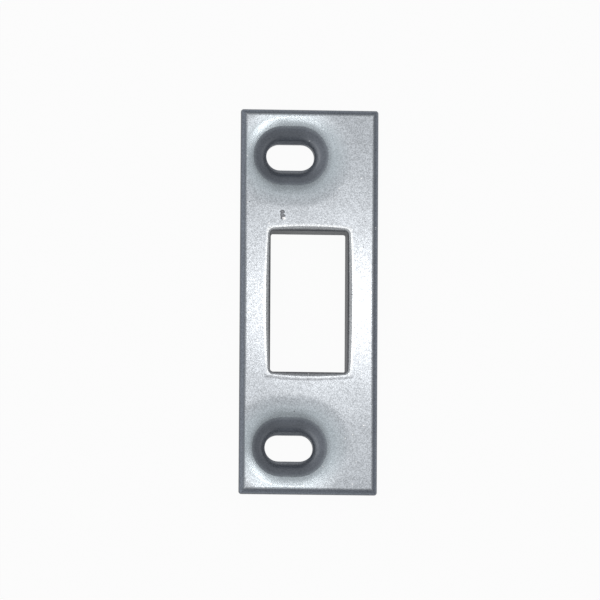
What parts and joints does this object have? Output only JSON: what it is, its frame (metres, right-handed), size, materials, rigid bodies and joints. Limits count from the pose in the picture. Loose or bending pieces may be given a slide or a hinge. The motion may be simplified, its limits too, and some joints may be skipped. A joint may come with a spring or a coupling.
{
  "type": "door strike plate",
  "caption": "Pressed steel strike plate with a rolled-in bolt opening between two dimpled screw slots.",
  "frame": {"origin": "under the middle of the plate, on the plane of the lip's rim and the two dimples' feet", "axes": "+X across the plate, away from the screw slots' side; +Y along the plate; +Z out of its face"},
  "size_m": [0.025, 0.07, 0.004],
  "materials": {
    "plated_steel": "satin silver-grey plating with a fine cast-like grain, cool in tone, lightly marked by handling"
  },
  "bodies": {
    "root": {"strike_plate": "plated_steel"}
  },
  "joints": []
}
